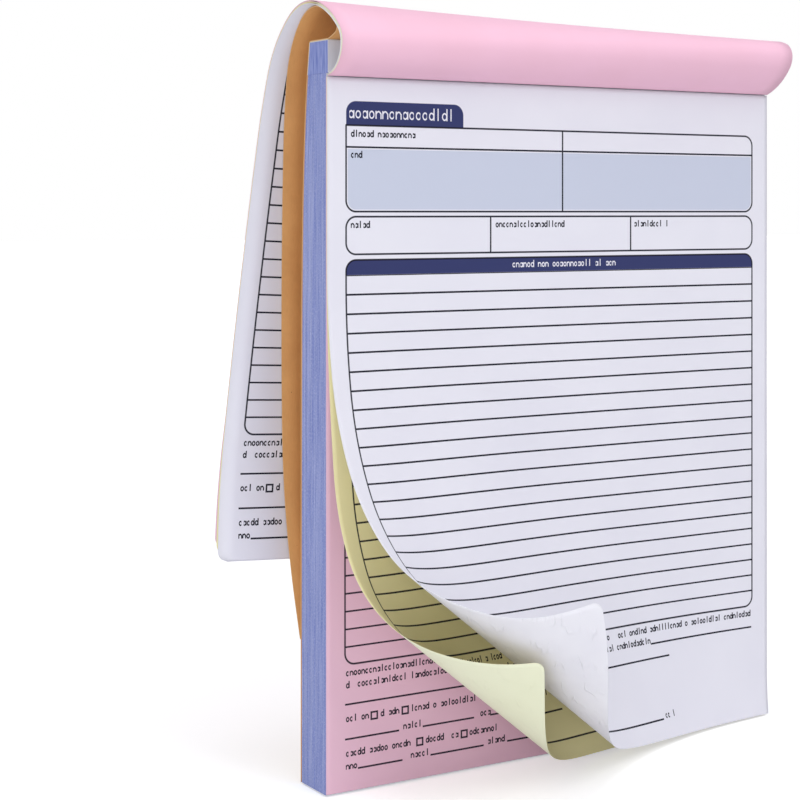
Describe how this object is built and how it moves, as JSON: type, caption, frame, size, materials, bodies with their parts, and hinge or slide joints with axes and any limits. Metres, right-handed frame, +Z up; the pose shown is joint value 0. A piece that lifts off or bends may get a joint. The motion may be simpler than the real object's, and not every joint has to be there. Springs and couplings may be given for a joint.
{
  "type": "carbonless invoice book",
  "caption": "Letter-size book of carbonless forms in a kraft wraparound cover, folded open over its bound top edge, with curled white and yellow sheets.",
  "frame": {"origin": "middle of the edge that the book stands on: half way across its width and half way through its thickness", "axes": "+Z up, towards the bound edge; -Y out of the printed face of the set on show; +X to the right of that face"},
  "size_m": [0.2452, 0.1203, 0.2942],
  "materials": {
    "white_paper": "matt uncoated sheet, printed on its face",
    "yellow_paper": "matt uncoated canary sheet, printed on its face",
    "pink_paper": "matt uncoated pink sheet, printed on its face",
    "block_paper": "cut edges of many sheets, lilac-blue with fine lines",
    "kraft_board": "matt brown kraft board",
    "padding_glue": "dried padding glue",
    "steel_wire": "bright stitching wire"
  },
  "bodies": {
    "book": {"wraparound_cover_back": "kraft_board", "binding_glue": "padding_glue", "stub_block": "block_paper", "staple_left": "steel_wire", "staple_middle": "steel_wire", "staple_right": "steel_wire", "unused_sets_03_04": "block_paper", "unused_sets_05_06": "block_paper", "unused_sets_07_08": "block_paper", "unused_sets_09_10": "block_paper", "unused_sets_11_12": "block_paper", "unused_sets_13_14": "block_paper", "unused_sets_15_16": "block_paper", "unused_sets_17_18": "block_paper", "unused_sets_19_20": "block_paper", "unused_sets_21_22": "block_paper", "unused_sets_23_24": "block_paper", "unused_sets_25_26": "block_paper", "unused_sets_27_28": "block_paper", "unused_sets_29_30": "block_paper", "unused_sets_31_32": "block_paper", "unused_sets_33_34": "block_paper", "unused_sets_35_36": "block_paper", "unused_sets_37_38": "block_paper", "unused_sets_39_40": "block_paper", "unused_sets_41_42": "block_paper", "unused_sets_43_44": "block_paper", "unused_sets_45_46": "block_paper", "unused_sets_47_48": "block_paper", "unused_sets_49_50": "block_paper"},
    "first_pink": {"first_set_pink_sheet": "pink_paper"},
    "first_yellow": {"first_set_yellow_sheet": "yellow_paper"},
    "first_white": {"first_set_white_sheet": "white_paper"},
    "cover_flap": {"front_cover": "kraft_board"},
    "open_white": {"open_set_white_sheet": "white_paper"},
    "open_yellow": {"open_set_yellow_sheet": "yellow_paper"},
    "open_pink": {"open_set_pink_sheet": "pink_paper"}
  },
  "joints": [
    {"name": "first_pink_swing", "type": "hinge", "parent": "book", "child": "first_pink", "pos_m": [0, -0.01045, 0.26565], "axis": [1, 0, 0], "range_deg": [0, 50]},
    {"name": "first_yellow_swing", "type": "hinge", "parent": "book", "child": "first_yellow", "pos_m": [0, -0.01045, 0.266], "axis": [1, 0, 0], "range_deg": [0, 48]},
    {"name": "first_white_swing", "type": "hinge", "parent": "book", "child": "first_white", "pos_m": [0, -0.01045, 0.26635], "axis": [1, 0, 0], "range_deg": [0, 46]},
    {"name": "cover_swing", "type": "hinge", "parent": "book", "child": "cover_flap", "pos_m": [0, -0.01105, 0.2792], "axis": [1, 0, 0], "range_deg": [0, 10]},
    {"name": "open_white_lift", "type": "hinge", "parent": "book", "child": "open_white", "pos_m": [0, -0.01025, 0.2653], "axis": [1, 0, 0], "range_deg": [-35, 0]},
    {"name": "open_yellow_lift", "type": "hinge", "parent": "book", "child": "open_yellow", "pos_m": [0, -0.00985, 0.2653], "axis": [1, 0, 0], "range_deg": [-35, 0]},
    {"name": "open_pink_lift", "type": "hinge", "parent": "book", "child": "open_pink", "pos_m": [0, -0.00945, 0.2653], "axis": [1, 0, 0], "range_deg": [-17.5, 0]}
  ],
  "couplings": [
    {"joint": "first_yellow_swing", "follows": "first_pink_swing", "ratio": 0.96},
    {"joint": "first_white_swing", "follows": "first_pink_swing", "ratio": 0.92},
    {"joint": "cover_swing", "follows": "first_pink_swing", "ratio": 0.2},
    {"joint": "open_yellow_lift", "follows": "open_white_lift", "ratio": 1},
    {"joint": "open_pink_lift", "follows": "open_white_lift", "ratio": 0.5}
  ]
}
